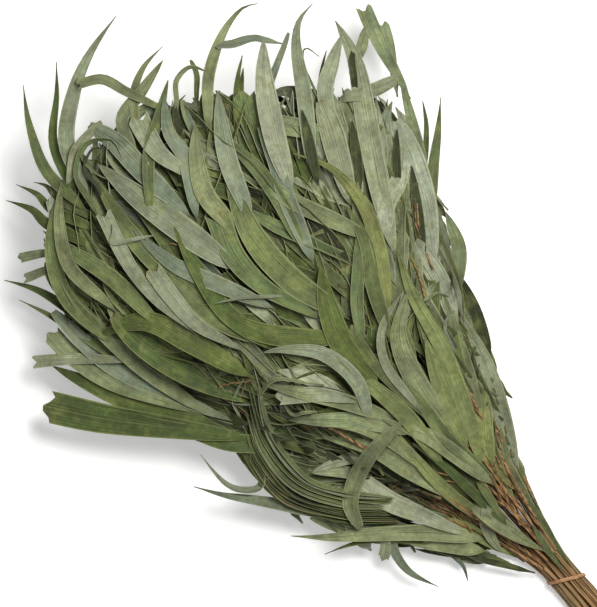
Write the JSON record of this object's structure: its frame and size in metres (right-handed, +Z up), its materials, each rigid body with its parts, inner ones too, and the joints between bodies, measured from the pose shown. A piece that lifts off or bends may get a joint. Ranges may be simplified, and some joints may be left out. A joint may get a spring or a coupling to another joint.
{
  "type": "dried eucalyptus bunch",
  "caption": "Tied bunch of dried willow eucalyptus lying on its side: bare stems held by a rubber band fan out into a flat heap of long, narrow grey-green leaves.",
  "frame": {"origin": "middle of the bunch's footprint, on the surface that it lies on", "axes": "+X along the bunch from the cut stem ends to the leaf tips, +Y across the fan towards its fuller side, +Z up from the surface"},
  "size_m": [0.6592, 0.4344, 0.1091],
  "materials": {
    "stem_bark": "dry brown bark, finely ridged lengthwise, matte",
    "leaf_sage": "dried leathery leaf in sage green, matte with a faint waxy bloom and a pale midrib",
    "leaf_grey_green": "dried leathery leaf in pale grey-green, matte with a strong waxy bloom and a pale midrib",
    "leaf_olive": "dried leathery leaf in olive green, satin, with a yellowish midrib",
    "rubber_band": "tan natural rubber band, matte"
  },
  "bodies": {
    "root": {"stem_01": "stem_bark", "stem_02": "stem_bark", "stem_03": "stem_bark", "stem_04": "stem_bark", "stem_05": "stem_bark", "stem_06": "stem_bark", "stem_07": "stem_bark", "stem_08": "stem_bark", "stem_09": "stem_bark", "stem_10": "stem_bark", "stem_11": "stem_bark", "stem_12": "stem_bark", "stem_13": "stem_bark", "stem_14": "stem_bark", "stem_15": "stem_bark", "stem_16": "stem_bark", "stem_17": "stem_bark", "stem_18": "stem_bark", "stem_19": "stem_bark", "stem_20": "stem_bark", "stem_21": "stem_bark", "stem_22": "stem_bark", "stem_23": "stem_bark", "stem_24": "stem_bark", "leafy_top_01": "leaf_sage", "leafy_top_02": "leaf_grey_green", "leafy_top_03": "leaf_sage", "leafy_top_04": "leaf_grey_green", "leafy_top_05": "leaf_olive", "leafy_top_06": "leaf_sage", "leafy_top_07": "leaf_olive", "leafy_top_08": "leaf_sage", "leafy_top_09": "leaf_olive", "leafy_top_10": "leaf_grey_green", "leafy_top_11": "leaf_olive", "leafy_top_12": "leaf_grey_green", "leafy_top_13": "leaf_olive", "leafy_top_14": "leaf_grey_green", "leafy_top_15": "leaf_olive", "leafy_top_16": "leaf_sage", "leafy_top_17": "leaf_grey_green", "leafy_top_18": "leaf_sage", "leafy_top_19": "leaf_grey_green", "leafy_top_20": "leaf_sage", "leafy_top_21": "leaf_olive", "leafy_top_22": "leaf_sage", "leafy_top_23": "leaf_olive", "leafy_top_24": "leaf_sage", "side_shoot_01": "leaf_sage", "side_shoot_02": "leaf_grey_green", "side_shoot_03": "leaf_olive", "side_shoot_04": "leaf_olive", "side_shoot_05": "leaf_grey_green", "side_shoot_06": "leaf_olive", "side_shoot_07": "leaf_sage", "side_shoot_08": "leaf_sage", "side_shoot_09": "leaf_olive", "side_shoot_10": "leaf_sage", "tie_band": "rubber_band"}
  },
  "joints": []
}
